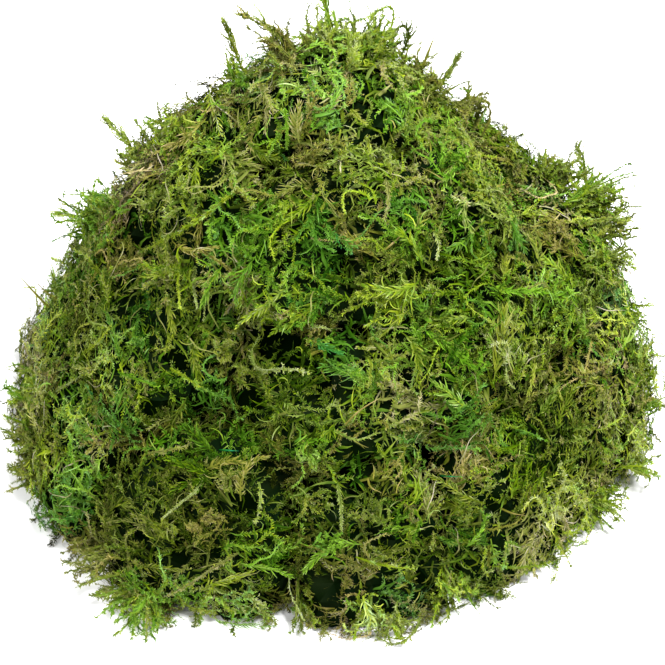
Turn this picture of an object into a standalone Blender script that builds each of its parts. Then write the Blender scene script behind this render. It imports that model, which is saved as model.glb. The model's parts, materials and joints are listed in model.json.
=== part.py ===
"""A heap of dried feather moss, about 230 mm across, in metres, with +Z up.

The heap is tufts of tangled moss, each one a shaggy lump pressed against its neighbours. Single
fronds and bare stems stand out of it. The origin is on the ground under the middle of the heap.
An azimuth of 0 is the front and 90 the right, and angles are in degrees.
"""

import math
import random
from collections import namedtuple

import bmesh
import bpy
from mathutils import Matrix, Vector, noise
from mathutils.bvhtree import BVHTree

# The heap as a smooth mound, before its tufts make it lumpy
HEAP_WIDTH = 0.226
HEAP_DEPTH = 0.218
HEAP_HEIGHT = 0.142
CROWN_POWER = 1.35  # nearer 1 makes the top more pointed
FLANK_POWER = 1.25  # nearer 1 makes the sides straighter
HEAP_CENTRE = Vector((0, 0, 0.030))  # where the roots of the fronds are aimed from
GROUND = 0.0

# Where the heap swells past the smooth mound, or falls short of it, by a share of its radius
Swell = namedtuple("Swell", "azimuth height width amount")
SWELLS = (
    Swell(-38, 0.006, 0.034, 0.10),
    Swell(-92, 0.045, 0.034, -0.06),
    Swell(92, 0.062, 0.030, 0.10),
    Swell(100, 0.098, 0.024, -0.12),
    Swell(-22, 0.066, 0.017, -0.16),  # the dark pit in the front
    Swell(52, 0.010, 0.026, -0.04),
    Swell(150, 0.050, 0.036, 0.05),
    Swell(-140, 0.078, 0.030, 0.05),
)

# Rings of tufts: how many, the height and distance from the middle of their centres, their size,
# the azimuth of the first one, and how far they wander from an even ring
Tier = namedtuple("Tier", "name count height reach size turn wander")
TIERS = (
    Tier("bed_tuft_middle", 1, 0.017, 0.000, 0.030, 0, 0.0),
    Tier("bed_tuft", 5, 0.020, 0.044, 0.034, 20, 0.4),
    Tier("hem_tuft", 11, 0.019, 0.085, 0.035, 6, 1.0),
    Tier("heart_tuft", 1, 0.060, 0.004, 0.034, 0, 0.0),
    Tier("flank_tuft", 8, 0.056, 0.061, 0.033, 40, 1.0),
    Tier("shoulder_tuft", 5, 0.091, 0.034, 0.030, 12, 1.0),
    Tier("crown_tuft", 1, 0.116, 0.003, 0.028, 0, 0.0),
)
WANDER_TURN = 0.17  # of the spacing in a ring
WANDER_REACH = 0.0045
WANDER_HEIGHT = 0.0045
WANDER_SIZE = 0.0030
LEVEL_TIERS = 0.03  # tufts with their centres under this height rest on the ground, all level
Tuft = namedtuple("Tuft", "name centre size spin")

# What shapes one tuft
GAP = 0.0008  # between neighbours
PRESS = 13  # a higher power presses the tufts flatter and sharper against each other
ROUND = 1.20  # a tuft's own reach, over its size
LUMP_SHARE = 0.16  # how far soft noise moves its surface
LUMP_SCALE = 38.0  # waves of that noise per metre
BURIED = 0.86  # of the way to a wall, a tuft's surface no longer shows
TIP_HEIGHT = (0.0026, 0.0062)  # how far the tips of the moss stand out of a tuft
TIP_LEAN = (0.0015, 0.0050)  # how far a tip leans along the flow of the moss
TIP_CELLS = 300.0  # a metre, each with its own height and lean of tip
FLOW_SCALE = 16.0  # waves of the flow per metre
FLOW_SEED = 7
ICO_LEVEL = 2  # 80 faces, before the ones that show are divided
SPIN_AXIS = Vector((1, 2, 3))
HALVINGS = 24  # of the search for the mound's surface
TINY = 1e-5

# Fronds and bare stems. The azimuth and the elevation say where a shoot's root is, seen from the
# heap's centre, and towards and rise say which way it grows. A curl over 0 bends it upwards.
Frond = namedtuple("Frond", "name azimuth elevation towards rise length reach pairs curl")
FRONDS = (
    Frond("crown_frond_left", -124, 81, -113, 30, 0.017, 0.0048, 4, -25),
    Frond("crown_frond_upright", -167, 88, -150, 64, 0.019, 0.0040, 5, -15),
    Frond("crown_frond_arch", 98, 79, 130, 44, 0.028, 0.0036, 7, 190),
    Frond("right_upper_curl", 105, 57, 141, 41, 0.020, 0.0028, 5, 170),
    Frond("right_upper_sprig", 138, 52, 133, 37, 0.011, 0.0034, 3, 20),
    Frond("right_shoulder_frond", 105, 16, -150, 44, 0.025, 0.0050, 6, 15),
    Frond("left_shoulder_frond", -125, 22, -131, 36, 0.016, 0.0042, 4, -25),
    Frond("left_flank_frond", -118, 3, -100, 11, 0.014, 0.0042, 4, -20),
    Frond("back_flank_frond", 165, 34, 165, 52, 0.020, 0.0048, 5, -30),
    Frond("back_shoulder_frond", -147, 52, -140, 50, 0.018, 0.0044, 4, 30),
)
Stem = namedtuple("Stem", "name azimuth elevation towards rise length curl")
STEMS = (
    Stem("crown_twig", 110, 73, 150, 52, 0.012, -25),
    Stem("left_bare_stem", -92, 1, -124, 32, 0.016, 15),
    Stem("right_bare_stem", 94, 20, 133, 37, 0.014, 40),
)
ROOT_GAP = 0.0010  # under the root of a shoot
SHOOT_THICK = 0.0013
SHOOT_HALF_WIDTH = 0.0008
BARE_SHARE = 0.16  # of a frond's length has no branchlets
BRANCHLET_LEAN = 0.9  # of the spacing of the branchlets
BRANCHLET_STAGGER = 0.45  # of that spacing, between one side and the other
WIDEST_FROM, WIDEST_TO = 0.3, 0.9  # of half a wave, along a frond's branchlets
WIDEST_POWER = 0.7  # under 1 makes a frond's outline fuller
UPRIGHT = Vector((0, -0.3, 1))  # a shoot's own +Z is turned this way as far as it goes
STEM_THICK = 0.0014
STEM_POINTS = 9
STEM_TAPER = 0.5

COLOURS = {
    "olive_moss": (0.150, 0.190, 0.030),
    "bright_moss": (0.180, 0.330, 0.030),
    "deep_moss": (0.040, 0.130, 0.025),
    "brown_moss": (0.130, 0.110, 0.035),
    "dry_stem": (0.300, 0.230, 0.110),
}
TUFT_COLOURS = ("olive_moss", "bright_moss", "olive_moss", "deep_moss", "olive_moss", "brown_moss")
DRY_ROUGHNESS = 0.75


def clear_scene():
    for obj in list(bpy.data.objects):
        bpy.data.objects.remove(obj)


def moss_material(name):
    """One of the heap's colours, dry and matt."""
    material = bpy.data.materials.new(name)
    material.use_nodes = True
    shader = material.node_tree.nodes["Principled BSDF"]
    shader.inputs["Base Color"].default_value = (*COLOURS[name], 1)
    shader.inputs["Roughness"].default_value = DRY_ROUGHNESS
    shader.inputs["Metallic"].default_value = 0.0
    return material


def direction_of(azimuth, elevation):
    turn, rise = math.radians(azimuth), math.radians(elevation)
    level = math.cos(rise)
    return Vector((math.sin(turn) * level, -math.cos(turn) * level, math.sin(rise)))


def smooth_radius(height):
    """The smooth mound's radius at a height, as a share of its radius on the ground."""
    return (1 - (max(height, 0) / HEAP_HEIGHT) ** CROWN_POWER) ** (1 / FLANK_POWER)


def swell_place(swell):
    out = direction_of(swell.azimuth, 0) * smooth_radius(swell.height)
    return Vector((out.x * HEAP_WIDTH / 2, out.y * HEAP_DEPTH / 2, swell.height))


SWELL_PLACES = [(swell_place(swell), swell.width, swell.amount) for swell in SWELLS]


def mound_share(point):
    """How near a point is to the mound's surface: 1 on it, under 1 inside."""
    if point.z >= HEAP_HEIGHT:
        return 2.0
    radius = smooth_radius(point.z)
    for place, width, amount in SWELL_PLACES:
        radius += amount * math.exp(-(point - place).length_squared / width**2)
    across = math.hypot(point.x / (HEAP_WIDTH / 2), point.y / (HEAP_DEPTH / 2))
    return across / max(radius, TINY)


def mound_reach(centre, direction):
    """How far the mound's surface is from a tuft's centre, in one direction."""
    near, far = 0.0, HEAP_WIDTH
    for _ in range(HALVINGS):
        middle = (near + far) / 2
        if mound_share(centre + direction * middle) < 1:
            near = middle
        else:
            far = middle
    return near


def lay_tufts():
    """The tufts' centres, ring by ring, wandering as a poured heap does."""
    draw = random.Random(11)
    tufts = []
    for tier in TIERS:
        for i in range(tier.count):
            turn_off, reach_off, height_off = (draw.uniform(-1, 1) * tier.wander for _ in range(3))
            out = direction_of(tier.turn + 360 / tier.count * (i + WANDER_TURN * turn_off), 0)
            centre = out * (tier.reach + WANDER_REACH * reach_off)
            centre.x *= HEAP_WIDTH / HEAP_DEPTH
            centre.z = tier.height
            if tier.height > LEVEL_TIERS:
                centre.z += WANDER_HEIGHT * height_off
            name = tier.name if tier.count == 1 else f"{tier.name}_{i + 1:02d}"
            size = tier.size + WANDER_SIZE * draw.uniform(-1, 1) * tier.wander
            tufts.append(Tuft(name, centre, size, draw.random()))
    return tufts


def walls_round(tuft, tufts):
    """The flat limits between a tuft and its neighbours, as a direction and a distance each."""
    walls = []
    for other in tufts:
        if other is tuft:
            continue
        apart = other.centre - tuft.centre
        distance = apart.length
        share = (distance**2 + tuft.size**2 - other.size**2) / (2 * distance)
        walls.append((apart / distance, share - GAP / 2))
    return walls


def nearest_wall(walls, direction):
    facing = ((wall.dot(direction), away) for wall, away in walls)
    return min((away / slope for slope, away in facing if slope > TINY), default=HEAP_WIDTH)


def tuft_reach(tuft, walls, direction):
    """How far a tuft goes in one direction: to its neighbours, the mound or its own size."""
    wall = nearest_wall(walls, direction)
    wave = noise.noise((tuft.centre + direction * tuft.size) * LUMP_SCALE)
    own = tuft.size * (ROUND + LUMP_SHARE * wave)
    free = mound_reach(tuft.centre, direction)
    reach = min((wall**-PRESS + own**-PRESS + free**-PRESS) ** (-1 / PRESS), wall)
    if direction.z < 0:
        reach = min(reach, (tuft.centre.z - GROUND) / -direction.z)
    return reach


def shows(tuft, walls, direction):
    """Whether a tuft's surface is in the open air in one direction."""
    reach = tuft_reach(tuft, walls, direction)
    above_ground = tuft.centre.z + direction.z * reach > GROUND + TIP_HEIGHT[0]
    return above_ground and reach < BURIED * nearest_wall(walls, direction)


def showing_faces(tuft, walls, sphere):
    return [f for f in sphere.faces if shows(tuft, walls, f.calc_center_median().normalized())]


def flow_at(point, direction):
    """Which way the moss lies at a point of a surface that faces in one direction."""
    flow = noise.noise_vector(point * FLOW_SCALE)
    return (flow - direction * flow.dot(direction)).normalized()


def between(limits, share):
    return limits[0] + (limits[1] - limits[0]) * share


def tip_place(tuft, walls, direction):
    """Where the tip of a shoot is: out of the tuft, leaning with the flow, short of its walls."""
    spot = direction * tuft_reach(tuft, walls, direction)
    chance = noise.cell_vector((tuft.centre + spot) * TIP_CELLS)
    lean = flow_at(tuft.centre + spot, direction) * between(TIP_LEAN, chance.x)
    spot += direction * between(TIP_HEIGHT, chance.y) + lean
    spot *= min(1, nearest_wall(walls, spot.normalized()) / spot.length)
    spot.z = max(spot.z, GROUND - tuft.centre.z)
    return tuft.centre + spot


def make_tuft(tuft, tufts):
    """One tuft: a sphere moved out to its limits, with a leaning tip on each face that shows."""
    walls = walls_round(tuft, tufts)
    shape = bmesh.new()
    turned = Matrix.Rotation(math.tau * tuft.spin, 4, SPIN_AXIS)
    bmesh.ops.create_icosphere(shape, subdivisions=ICO_LEVEL, radius=1.0, matrix=turned)
    open_faces = showing_faces(tuft, walls, shape)
    open_edges = [edge for edge in shape.edges if any(f in open_faces for f in edge.link_faces)]
    bmesh.ops.subdivide_edges(shape, edges=open_edges, cuts=1, use_grid_fill=True)
    bmesh.ops.triangulate(shape, faces=shape.faces)
    tips = bmesh.ops.poke(shape, faces=showing_faces(tuft, walls, shape))["verts"]
    for point in shape.verts:
        direction = point.co.normalized()
        if point in tips:
            point.co = tip_place(tuft, walls, direction)
        else:
            point.co = tuft.centre + direction * tuft_reach(tuft, walls, direction)
        if point.co.z < GROUND + TINY:
            point.co.z = GROUND
    mesh = bpy.data.meshes.new(tuft.name)
    shape.to_mesh(mesh)
    shape.free()
    return bpy.data.objects.new(tuft.name, mesh)


def frond_outline(frond):
    """A flat frond's outline: a stem along X, with branchlets that lean towards its tip."""
    bare = BARE_SHARE * frond.length
    pitch = (frond.length - bare) / (frond.pairs + BRANCHLET_STAGGER)
    sides = []
    for side, stagger in ((1, 0), (-1, BRANCHLET_STAGGER)):
        edge = [(0, side * SHOOT_HALF_WIDTH)]
        for i in range(frond.pairs):
            start = bare + pitch * (i + stagger)
            wave = WIDEST_FROM + (WIDEST_TO - WIDEST_FROM) * i / frond.pairs
            width = frond.reach * math.sin(math.pi * wave) ** WIDEST_POWER
            edge.append((start, side * SHOOT_HALF_WIDTH))
            edge.append((start + BRANCHLET_LEAN * pitch, side * width))
        sides.append(edge)
    return sides[0] + [(frond.length, 0)] + sides[1][::-1]


def mesh_from_curve(name, curve):
    """A curve's solid as an object of its own, with its caps welded on."""
    source = bpy.data.objects.new(name + "_curve", curve)
    bpy.context.scene.collection.objects.link(source)
    bpy.context.view_layer.update()
    evaluated = source.evaluated_get(bpy.context.evaluated_depsgraph_get())
    mesh = bpy.data.meshes.new_from_object(evaluated)
    mesh.name = name
    bpy.data.objects.remove(source)
    shape = bmesh.new()
    shape.from_mesh(mesh)
    bmesh.ops.remove_doubles(shape, verts=shape.verts, dist=TINY)
    bmesh.ops.triangulate(shape, faces=shape.faces)
    bmesh.ops.recalc_face_normals(shape, faces=shape.faces)
    shape.to_mesh(mesh)
    shape.free()
    return bpy.data.objects.new(name, mesh)


def flat_frond(frond):
    """A frond pressed flat, along its own +X, before it is bent."""
    curve = bpy.data.curves.new(frond.name, "CURVE")
    curve.dimensions = "2D"
    curve.fill_mode = "BOTH"
    curve.extrude = SHOOT_THICK / 2
    outline = frond_outline(frond)
    spline = curve.splines.new("POLY")
    spline.points.add(len(outline) - 1)
    for point, (x, y) in zip(spline.points, outline):
        point.co = (x, y, 0, 1)
    spline.use_cyclic_u = True
    return mesh_from_curve(frond.name, curve)


def straight_stem(stem):
    """A bare stem that tapers along its own +X, before it is bent."""
    curve = bpy.data.curves.new(stem.name, "CURVE")
    curve.dimensions = "3D"
    curve.bevel_depth = STEM_THICK / 2
    curve.bevel_resolution = 1
    curve.use_fill_caps = True
    spline = curve.splines.new("POLY")
    spline.points.add(STEM_POINTS - 1)
    for i, point in enumerate(spline.points):
        along = i / (STEM_POINTS - 1)
        point.co = (stem.length * along, 0, 0, 1)
        point.radius = 1 - STEM_TAPER * along
    return mesh_from_curve(stem.name, curve)


def bend(obj, length, curl):
    """Bends an object that lies along +X into an arc, towards +Z where curl is over 0."""
    angle = math.radians(curl)
    radius = length / angle
    for point in obj.data.vertices:
        turn = angle * point.co.x / length
        midline = Vector((radius * math.sin(turn), point.co.y, radius * (1 - math.cos(turn))))
        point.co = midline + Vector((-math.sin(turn), 0, math.cos(turn))) * point.co.z


def heap_surface(lumps):
    """The tufts' surface as one tree that rays can be cast on."""
    shape = bmesh.new()
    for lump in lumps:
        shape.from_mesh(lump.data)
    tree = BVHTree.FromBMesh(shape)
    shape.free()
    return tree


def growing_from(root, growth):
    """The place of a shoot that lies along its own +X and grows from a root."""
    across = UPRIGHT.cross(growth).normalized()
    turned = Matrix((growth, across, growth.cross(across))).transposed().to_4x4()
    return Matrix.Translation(root) @ turned


def plant(obj, shoot, surface):
    """Bends a shoot and stands it on the tuft that is under its root."""
    bend(obj, shoot.length, shoot.curl)
    out = direction_of(shoot.azimuth, shoot.elevation)
    spot = surface.ray_cast(HEAP_CENTRE + out * HEAP_WIDTH, -out)[0]
    root = spot + out * (ROOT_GAP + STEM_THICK / 2)
    obj.matrix_world = growing_from(root, direction_of(shoot.towards, shoot.rise))


def build():
    clear_scene()
    noise.seed_set(FLOW_SEED)
    heap = bpy.data.collections.new("moss_heap")
    bpy.context.scene.collection.children.link(heap)
    materials = {name: moss_material(name) for name in COLOURS}

    tufts = lay_tufts()
    lumps = [make_tuft(tuft, tufts) for tuft in tufts]
    for i, lump in enumerate(lumps):
        lump.data.materials.append(materials[TUFT_COLOURS[i % len(TUFT_COLOURS)]])
        heap.objects.link(lump)

    surface = heap_surface(lumps)
    for frond in FRONDS:
        obj = flat_frond(frond)
        plant(obj, frond, surface)
        obj.data.materials.append(materials["bright_moss"])
        heap.objects.link(obj)
    for stem in STEMS:
        obj = straight_stem(stem)
        plant(obj, stem, surface)
        obj.data.materials.append(materials["dry_stem"])
        heap.objects.link(obj)


build()
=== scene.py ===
"""The looks of a heap of dried feather moss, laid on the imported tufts. Metres, +Z up, front at -Y."""

import json
import math
from collections import namedtuple

import bpy
import numpy as np
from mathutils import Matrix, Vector
from mathutils.bvhtree import BVHTree


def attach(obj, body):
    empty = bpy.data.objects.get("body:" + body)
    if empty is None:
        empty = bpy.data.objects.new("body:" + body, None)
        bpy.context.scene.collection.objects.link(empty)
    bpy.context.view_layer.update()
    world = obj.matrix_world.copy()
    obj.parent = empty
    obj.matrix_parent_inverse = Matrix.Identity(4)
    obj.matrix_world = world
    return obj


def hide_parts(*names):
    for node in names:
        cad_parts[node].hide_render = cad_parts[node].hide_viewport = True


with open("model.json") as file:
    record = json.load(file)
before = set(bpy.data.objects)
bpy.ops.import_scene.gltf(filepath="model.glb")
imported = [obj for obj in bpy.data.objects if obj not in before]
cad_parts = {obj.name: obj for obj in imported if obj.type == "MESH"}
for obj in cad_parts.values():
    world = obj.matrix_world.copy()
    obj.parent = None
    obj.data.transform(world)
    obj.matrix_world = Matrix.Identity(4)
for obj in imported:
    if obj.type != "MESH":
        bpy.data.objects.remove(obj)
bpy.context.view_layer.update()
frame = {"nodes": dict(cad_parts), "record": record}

# The tones of the moss, along the colour map's u. Every other one is purer, with less blue in it, so
# that leaves a little apart in tone differ in purity too
# The first tone, nearly black, is painted shade for the tufts' inside, seen in the gaps and pits
SHADOW_CORE, DARK_BROWN, BROWN, TAN_OLIVE, OLIVE, PALE_OLIVE = 0.02, 0.13, 0.25, 0.33, 0.40, 0.47
YELLOW_GREEN, FRESH, BRIGHT, GREEN, DEEP, TEAL = 0.55, 0.62, 0.69, 0.76, 0.82, 0.985
TONES = {
    SHADOW_CORE: (0.0034, 0.0108, 0.0038),
    DARK_BROWN: (0.062, 0.056, 0.020),
    BROWN: (0.166, 0.160, 0.024),
    TAN_OLIVE: (0.155, 0.169, 0.045),
    OLIVE: (0.146, 0.181, 0.010),
    PALE_OLIVE: (0.166, 0.217, 0.052),
    YELLOW_GREEN: (0.190, 0.256, 0.008),
    FRESH: (0.150, 0.247, 0.036),
    BRIGHT: (0.117, 0.238, 0.010),
    GREEN: (0.088, 0.190, 0.027),
    DEEP: (0.064, 0.150, 0.014),
    TEAL: (0.014, 0.145, 0.034),
}
# What the tone is multiplied by along the map's v: painted shade darkens the hidden foot of a shoot, and
# its pale, bluer tip is partly its own paler growth and partly a painted highlight
SHADE_AND_HIGHLIGHT = {
    0.00: (0.045, 0.075, 0.035),
    0.12: (0.130, 0.210, 0.085),
    0.25: (0.300, 0.390, 0.225),
    0.60: (0.820, 0.820, 0.800),
    0.85: (1.380, 1.200, 2.600),
    1.00: (2.150, 1.750, 5.200),
}

MIX_OF_SLOT = {  # how much of each tone a tuft of that slot has
    "olive_moss": {BROWN: 0.12, OLIVE: 0.48, YELLOW_GREEN: 0.26, BRIGHT: 0.09, DEEP: 0.05},
    "bright_moss": {BROWN: 0.08, OLIVE: 0.34, YELLOW_GREEN: 0.35, BRIGHT: 0.20, DEEP: 0.03},
    "deep_moss": {BROWN: 0.08, OLIVE: 0.34, YELLOW_GREEN: 0.20, BRIGHT: 0.24, DEEP: 0.14},
    "brown_moss": {DARK_BROWN: 0.04, BROWN: 0.20, OLIVE: 0.42, YELLOW_GREEN: 0.24, BRIGHT: 0.10},
}

# Blades, leaves and stems. Sizes are in metres, angles in radians, and shades are steps along v
BLADE_WIDTH, STEM_WIDTH, BODY_WIDTH, SHOOT_WIDTH = 0.00048, 0.00050, 0.0006, 0.0007
FOOT_WIDTH, WIDEST = 0.75, 0.35  # the share of its width at a blade's foot, and where it is widest
HALF_U = 0.006  # half the width of a blade or leaf along the map's u
BODY_MOTTLE, EDGE_LIGHT = 0.09, 0.07  # how uneven a blade is, and how much lighter one edge and darker the other is, painted light and shade that make it look round
LEAF_BASE, LONG_LEAF = 0.00070, 0.0011
LEAF_LEAN = (0.40, 1.05)
LEAF_TONE, LEAF_SHADE, LEAF_TIP_SHADE = 0.04, (-0.10, 0.10), (-0.24, 0.12)
TIP_LIGHT = 0.20  # how much lighter a shoot's last leaves are than its first
SIDE_LEAN, SIDE_STEPS = (0.95, 0.60), 3  # side shoots lean less towards the tip of their frond
PLUME_LEAN, SPRIG_LEAN = (0.75, 0.30), (1.15, 0.75)
SIDE_SHADE = 0.10  # how much the side shoots of a frond differ in shade
SIDE_GAP, TOOTH_GAP, PLUME_GAP, LEAF_GAP = 0.0024, 0.0008, 0.0009, 0.00018  # on a placed frond
STEM_BROWN = 0.15  # the share of brown in a feather's stem
FROND_TONE, FROND_SHADE = 0.05, 0.08
SWAY_PACE = 1.25
GLIDE_HEIGHT, GLIDE_DROP = 0.0012, 0.1  # under this height a shoot loses all but this of its drop
CORNER_CUT = 0.25

# The tufts under the moss
CORE_DEPTH, PIT_DEPTH = 0.0022, 0.0060
CORE_MAP = ((SHADOW_CORE, 0.12), (SHADOW_CORE * 1.6, 0.48))  # the least and the most of its u and v, all dark as painted shade
PIT_MARGIN, PIT_SHADE = 4, 0.08  # painted shade: how far, in pixels, the core is this dark round a hole
FLOOR_GAP, FLOOR_REST = 0.0004, 0.0015
POINT_MERGE, TINY = 1e-6, 1e-12
SPOTS_PER_AREA = 5e5  # a square metre
SPOTS_AT_ONCE = 2000
LOWEST_SPOT, LOWEST_ROOT = 0.001, 0.0008
OPEN_AIR, RAY_START = 0.030, 0.0003
HEART, OUTWARD = np.array((0, 0, 0.02)), 0.7

# The wads and the layers
WADS = 720
WAD_TURN = 0.9
WAD_SHADE = 0.06
WAD_LIFT = (-0.0018, 0.0032)
HOLLOW_SHARE = 0.04
TONE_RANGE, TONE_STRAY = (0.08, 0.81), 0.04
ROOT_BACK = 0.4  # how much of a frond lies behind its spot
HUG_LENGTH = 0.034  # a frond of this length bends by its layer's hug
HEM_FRONDS, HEM_HEIGHT = 400, 0.012
RIM, RIM_WIDTH, RIM_LIGHT = 0.085, 0.020, 0.18  # painted light: the rim of the heap is lighter, as if lit by the bright floor
# painted shade: fronds over a hole are this much darker; the moss sinks this far there, fading out at
# this many radii
HOLE_SHADE, HOLE_SINK, HOLE_FADE = 0.16, 0.0034, 1.8
PATCH_LIGHT = 0.03  # how much lighter a patch is than its own shade says
PATCH_LIFT = 0.0032  # how far a light patch stands out, and half as far a dark one sinks in
PATCH_FADE, SHADING_FADE = 1.6, 1.5  # where a patch's lift and a shading end, in radii
RAGGED_EDGE = (0.8, 1.25)
HERO_LIFT = (0.0022, 0.0042)  # how far a placed frond is off the tufts, at its root and beyond
ROUTE_STRAY = 1.8  # pixels
BALL_SHOOTS = 15
MAP_RANGE = (0.004, 0.996)  # all that a face may use of the colour map

CAMERA_PLACE = Vector((0, -0.3716, 0.3846))
CAMERA_DOWN = math.radians(44.22)
LENS, SENSOR, PICTURE = 80.7, 36.0, 665
PIXEL = 0.00035  # about what a pixel of the picture covers on the heap
LIGHT_AIM = Vector((0, 0, 0.05))

# Patches of the heap by their place in the picture, in pixels: where the fronds are of one tone, and
# how much lighter or darker they are, partly their own tone and partly painted light and shade. Each is
# x, y, radius and shade
PATCHES = {
    BROWN: (
        (153, 180, 17, 0.20), (140, 262, 15, -0.06), (238, 426, 17, 0.06), (556, 235, 20, 0.08),
        (432, 80, 9, -0.05), (204, 522, 13, 0.06), (490, 545, 10, -0.20),
    ),
    TAN_OLIVE: (
        (285, 180, 16, -0.12), (240, 285, 17, 0.19), (223, 354, 17, -0.03), (440, 192, 15, 0.00),
        (400, 400, 19, 0.10), (386, 88, 9, 0.12), (270, 40, 10, -0.05), (100, 562, 20, -0.04),
        (230, 481, 12, 0.08), (200, 560, 18, -0.18), (430, 520, 12, 0.00),
    ),
    OLIVE: (
        (166, 529, 10, 0.04), (567, 521, 16, 0.00), (45, 395, 26, 0.25), (100, 258, 16, 0.02),
        (598, 385, 18, 0.01), (590, 455, 16, 0.01), (120, 285, 14, 0.02),
    ),
    PALE_OLIVE: (
        (168, 222, 13, 0.05), (350, 165, 16, 0.05),
        (613, 200, 12, 0.05), (501, 341, 20, 0.14), (610, 420, 16, 0.00), (490, 208, 22, 0.04),
        (305, 78, 12, 0.00), (255, 590, 18, -0.06), (375, 520, 14, 0.00),
    ),
    YELLOW_GREEN: (
        (183, 268, 16, 0.05), (386, 300, 18, 0.14), (470, 168, 14, 0.00), (182, 136, 14, 0.04),
        (415, 492, 10, 0.05), (600, 505, 14, 0.04), (520, 480, 16, 0.02), (50, 325, 18, 0.06),
        (625, 440, 18, 0.02), (50, 462, 20, 0.12), (600, 322, 16, 0.02), (632, 340, 16, 0.04),
        (640, 385, 16, 0.04), (575, 500, 14, 0.02),
    ),
    FRESH: (
        (85, 222, 20, 0.03), (70, 425, 18, 0.00), (68, 300, 22, 0.00), (279, 80, 10, 0.00),
        (365, 608, 16, 0.08), (448, 610, 11, 0.00),
    ),
    BRIGHT: (
        (229, 199, 13, 0.08), (261, 218, 15, 0.06), (262, 160, 13, 0.00), (136, 348, 16, 0.00),
        (308, 447, 11, 0.10), (520, 197, 16, 0.09), (550, 294, 14, 0.14), (458, 358, 14, 0.10),
        (620, 355, 14, 0.00), (645, 415, 12, 0.00), (558, 186, 16, 0.00), (431, 138, 12, 0.05),
        (62, 488, 12, 0.00), (137, 578, 12, 0.05), (328, 538, 12, 0.12), (273, 551, 9, 0.08),
    ),
    GREEN: (
        (40, 343, 13, 0.00), (353, 84, 10, -0.14), (330, 118, 11, 0.05), (254, 158, 12, 0.00),
        (461, 538, 13, 0.00),
    ),
    DEEP: (
        (128, 222, 15, -0.30), (84, 283, 13, -0.02), (146, 300, 15, -0.08), (124, 325, 14, -0.06),
        (214, 396, 17, 0.12), (114, 418, 18, 0.03), (160, 432, 17, -0.03), (399, 199, 12, -0.05),
        (594, 214, 12, 0.00), (580, 350, 13, -0.06), (354, 375, 13, 0.00), (458, 425, 18, 0.04),
        (250, 92, 13, -0.12), (78, 512, 13, 0.00),
    ),
}
PATCH_ROWS = [(tone, *patch) for tone, patches in PATCHES.items() for patch in patches]
# Holes between the wads, in the same way: x, y, radius
HOLES = (
    (281, 346, 16), (298, 372, 11), (315, 391, 14), (250, 404, 8), (183, 322, 10), (172, 365, 10),
    (188, 388, 7), (345, 268, 12), (465, 256, 10), (355, 428, 7), (576, 410, 9), (390, 350, 9),
    (275, 265, 7), (465, 330, 6), (120, 365, 6), (150, 410, 7), (500, 395, 7), (260, 107, 6),
    (359, 118, 7), (286, 101, 6), (376, 109, 6), (410, 148, 7), (294, 148, 7), (99, 508, 8),
    (135, 527, 7), (178, 547, 10), (243, 502, 9), (269, 531, 7), (287, 566, 7), (255, 570, 7),
    (313, 480, 9), (320, 570, 7), (186, 483, 6), (360, 492, 12), (375, 547, 9), (429, 549, 8),
    (492, 507, 6), (425, 581, 7), (448, 586, 8), (205, 188, 6), (403, 341, 6), (356, 328, 5),
    (128, 222, 12), (142, 234, 9), (330, 500, 8), (235, 440, 6), (545, 470, 6), (118, 470, 7),
    (92, 330, 6), (440, 300, 6),
)

# Wider areas that are lighter or darker, mostly painted light and shade and partly the moss's own tone,
# in the same way: x, y, radius, shade
SHADINGS = (
    (200, 350, 60, -0.10), (150, 450, 60, -0.14), (240, 440, 50, -0.07), (300, 380, 45, -0.06),
    (330, 150, 60, -0.03), (330, 240, 60, -0.03), (560, 190, 50, 0.10), (615, 290, 50, 0.22),
    (45, 285, 60, 0.48), (30, 370, 50, 0.36), (620, 370, 45, 0.10), (545, 540, 50, 0.14),
    (290, 60, 50, 0.30), (215, 110, 50, 0.12), (120, 190, 50, 0.20), (330, 480, 50, -0.06),
    (205, 610, 45, 0.14), (374, 620, 40, 0.28), (374, 374, 45, 0.12), (374, 458, 40, 0.10),
    (30, 455, 40, -0.18), (365, 40, 40, -0.10), (290, 125, 40, -0.08), (210, 540, 70, -0.18),
    (290, 550, 45, -0.16), (290, 605, 40, -0.10), (330, 230, 70, -0.05), (220, 300, 40, 0.06),
    (125, 375, 40, 0.08), (540, 205, 40, 0.14), (320, 30, 45, 0.08), (120, 540, 45, -0.18),
    (455, 373, 40, -0.08), (373, 540, 40, -0.06), (460, 605, 40, -0.24), (230, 330, 40, 0.10),
    (110, 350, 40, 0.08), (650, 300, 50, 0.12), (540, 360, 45, -0.06), (370, 125, 50, 0.14),
    (455, 290, 50, -0.15), (290, 540, 45, -0.07), (540, 455, 45, -0.28), (455, 455, 45, 0.08),
    (620, 210, 40, 0.06), (455, 130, 45, 0.05), (540, 210, 45, 0.05), (600, 470, 40, 0.05),
    (120, 205, 45, 0.20), (200, 270, 45, 0.08), (310, 270, 45, 0.05),
)

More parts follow.
